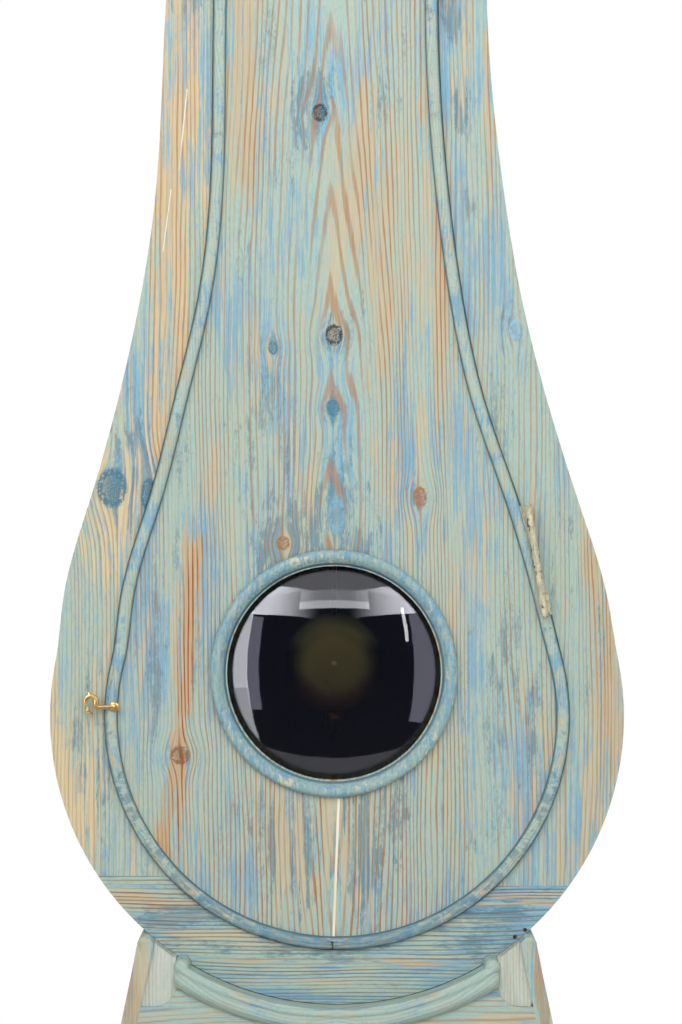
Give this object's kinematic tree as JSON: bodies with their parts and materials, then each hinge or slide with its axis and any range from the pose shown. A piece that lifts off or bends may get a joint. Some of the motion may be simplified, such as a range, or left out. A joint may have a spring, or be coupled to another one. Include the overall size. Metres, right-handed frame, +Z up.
{
  "type": "long case clock",
  "caption": "Bell-shaped long case clock with round hood, glazed door window, swinging pendulum and two geared trains.",
  "frame": {"origin": "on the floor, under the middle of the plinth's width and of the case's depth", "axes": "X to the right as seen from the front, Y to the back, Z up"},
  "size_m": [0.574, 0.2844, 1.9471],
  "materials": {
    "painted_pine": "dry scraped paint on pine",
    "painted_moulding": "dry scraped paint on pine",
    "raw_pine": "aged bare pine",
    "putty": "matte",
    "glass": "clear",
    "aged_brass": "aged",
    "movement_brass": "satin",
    "bell_metal": "polished",
    "painted_hinge": "matte",
    "knob_brass": "aged",
    "steel": "satin",
    "nail_iron": "rusted",
    "weight_iron": "cast",
    "black_steel": "satin",
    "dial_paint": "matte",
    "gut_line": "twisted"
  },
  "bodies": {
    "case": {"backboard": "raw_pine", "base_front": "painted_pine", "base_sides": "painted_pine", "ear_posts": "painted_pine", "crescent_moulding": "painted_moulding", "plinth": "painted_pine", "left_stile": "painted_pine", "right_stile": "painted_pine", "top_rail": "painted_pine", "bottom_rail": "painted_pine", "rail_nails": "nail_iron", "waist_side_boards": "painted_pine", "waist_cornice": "painted_pine", "movement_seat": "raw_pine", "latch_staple": "aged_brass", "hinge_frame_leaves": "painted_hinge", "movement_plates": "movement_brass", "back_cock_and_bell_stand": "movement_brass", "bell": "bell_metal", "dial": "dial_paint", "weight_lines": "gut_line", "suspension_spring": "steel"},
    "door": {"door_panel": "painted_pine", "door_bead": "painted_moulding", "door_battens": "raw_pine", "split_filler": "putty", "window_ring": "painted_moulding", "window_glass": "glass", "hinge_door_leaves": "painted_hinge", "hook_screw": "aged_brass"},
    "latch": {"latch_hook": "aged_brass"},
    "hood": {"hood_front": "painted_pine", "hood_wrap": "painted_pine", "hood_base": "painted_pine", "hood_cornice": "painted_pine", "hood_crest": "painted_pine", "hood_hinge_frame_leaf": "painted_hinge"},
    "hood_door": {"hood_door_ring": "painted_pine", "hood_door_glass": "glass", "hood_door_fittings": "knob_brass"},
    "going_barrel": {"going_barrel": "movement_brass"},
    "strike_barrel": {"strike_barrel": "movement_brass"},
    "centre": {"centre_wheel": "movement_brass", "minute_hand": "black_steel"},
    "third": {"third_wheel": "movement_brass"},
    "escape": {"escape_wheel": "movement_brass"},
    "pin": {"pin_wheel": "movement_brass"},
    "warning": {"warning_wheel": "movement_brass"},
    "fly": {"fly": "movement_brass"},
    "minute": {"minute_wheel": "movement_brass"},
    "hour": {"hour_wheel": "movement_brass", "hour_hand": "black_steel"},
    "anchor": {"pallet_anchor": "steel"},
    "hammer": {"hammer": "steel"},
    "pendulum": {"pendulum_rod": "steel", "pendulum_bob": "aged_brass"},
    "going_weight": {"going_weight": "weight_iron"},
    "strike_weight": {"strike_weight": "weight_iron"},
    "going_pulley": {"going_pulley": "movement_brass"},
    "strike_pulley": {"strike_pulley": "movement_brass"}
  },
  "joints": [
    {"name": "door_hinge", "type": "hinge", "parent": "case", "child": "door", "pos_m": [0.1984, -0.1275, 0.8], "axis": [-0.1547, 0, 0.988], "range_deg": [0, 100]},
    {"name": "latch_pivot", "type": "hinge", "parent": "door", "child": "latch", "pos_m": [-0.2215, -0.1248, 0.654], "axis": [0, 1, 0], "range_deg": [-5, 100]},
    {"name": "hood_slide", "type": "slide", "parent": "case", "child": "hood", "axis": [0, -1, 0], "range_m": [0, 0.3]},
    {"name": "hood_door_hinge", "type": "hinge", "parent": "hood", "child": "hood_door", "pos_m": [0.1495, -0.1379, 1.68], "axis": [0, 0, 1], "range_deg": [0, 105]},
    {"name": "going_barrel_spin", "type": "hinge", "parent": "case", "child": "going_barrel", "pos_m": [0.035, -0.06, 1.6445], "axis": [0, 1, 0], "continuous": true},
    {"name": "strike_barrel_spin", "type": "hinge", "parent": "case", "child": "strike_barrel", "pos_m": [-0.045, -0.06, 1.6445], "axis": [0, 1, 0], "continuous": true},
    {"name": "centre_spin", "type": "hinge", "parent": "case", "child": "centre", "pos_m": [-0.003, -0.06, 1.68], "axis": [0, 1, 0], "continuous": true},
    {"name": "third_spin", "type": "hinge", "parent": "case", "child": "third", "pos_m": [0.017, -0.06, 1.7007], "axis": [0, 1, 0], "continuous": true},
    {"name": "escape_spin", "type": "hinge", "parent": "case", "child": "escape", "pos_m": [-0.003, -0.06, 1.7136], "axis": [0, 1, 0], "continuous": true},
    {"name": "pin_spin", "type": "hinge", "parent": "case", "child": "pin", "pos_m": [-0.039, -0.06, 1.6901], "axis": [0, 1, 0], "continuous": true},
    {"name": "warning_spin", "type": "hinge", "parent": "case", "child": "warning", "pos_m": [-0.047, -0.06, 1.7125], "axis": [0, 1, 0], "continuous": true},
    {"name": "fly_spin", "type": "hinge", "parent": "case", "child": "fly", "pos_m": [-0.051, -0.06, 1.731], "axis": [0, 1, 0], "continuous": true},
    {"name": "minute_wheel_spin", "type": "hinge", "parent": "case", "child": "minute", "pos_m": [-0.003, -0.095, 1.652], "axis": [0, 1, 0], "continuous": true},
    {"name": "hour_spin", "type": "hinge", "parent": "case", "child": "hour", "pos_m": [-0.003, -0.095, 1.68], "axis": [0, 1, 0], "continuous": true},
    {"name": "anchor_swing", "type": "hinge", "parent": "case", "child": "anchor", "pos_m": [-0.003, -0.06, 1.735], "axis": [0, 1, 0], "range_deg": [-2.5, 2.5]},
    {"name": "pendulum_swing", "type": "hinge", "parent": "case", "child": "pendulum", "pos_m": [-0.003, -0.012, 1.735], "axis": [0, 1, 0], "range_deg": [-2.5, 2.5], "deforming": ["suspension_spring"]},
    {"name": "hammer_lift", "type": "hinge", "parent": "case", "child": "hammer", "pos_m": [-0.075, -0.06, 1.724], "axis": [0, 1, 0], "range_deg": [-12, 0]},
    {"name": "going_weight_drop", "type": "slide", "parent": "case", "child": "going_weight", "axis": [0, 0, -1], "range_m": [-0.25, 0.55], "deforming": ["weight_lines"]},
    {"name": "strike_weight_drop", "type": "slide", "parent": "case", "child": "strike_weight", "axis": [0, 0, -1], "range_m": [-0.25, 0.55], "deforming": ["weight_lines"]},
    {"name": "going_pulley_spin", "type": "hinge", "parent": "going_weight", "child": "going_pulley", "pos_m": [0.035, -0.06, 1.214], "axis": [0, 1, 0], "continuous": true},
    {"name": "strike_pulley_spin", "type": "hinge", "parent": "strike_weight", "child": "strike_pulley", "pos_m": [-0.045, -0.06, 1.214], "axis": [0, 1, 0], "continuous": true}
  ],
  "couplings": [
    {"joint": "centre_spin", "follows": "going_barrel_spin", "ratio": -12},
    {"joint": "third_spin", "follows": "going_barrel_spin", "ratio": 96},
    {"joint": "escape_spin", "follows": "going_barrel_spin", "ratio": -720},
    {"joint": "minute_wheel_spin", "follows": "going_barrel_spin", "ratio": 4},
    {"joint": "hour_spin", "follows": "going_barrel_spin", "ratio": -1},
    {"joint": "pin_spin", "follows": "strike_barrel_spin", "ratio": -10.5},
    {"joint": "warning_spin", "follows": "strike_barrel_spin", "ratio": 78.75},
    {"joint": "fly_spin", "follows": "strike_barrel_spin", "ratio": -630},
    {"joint": "anchor_swing", "follows": "pendulum_swing", "ratio": 1}
  ]
}
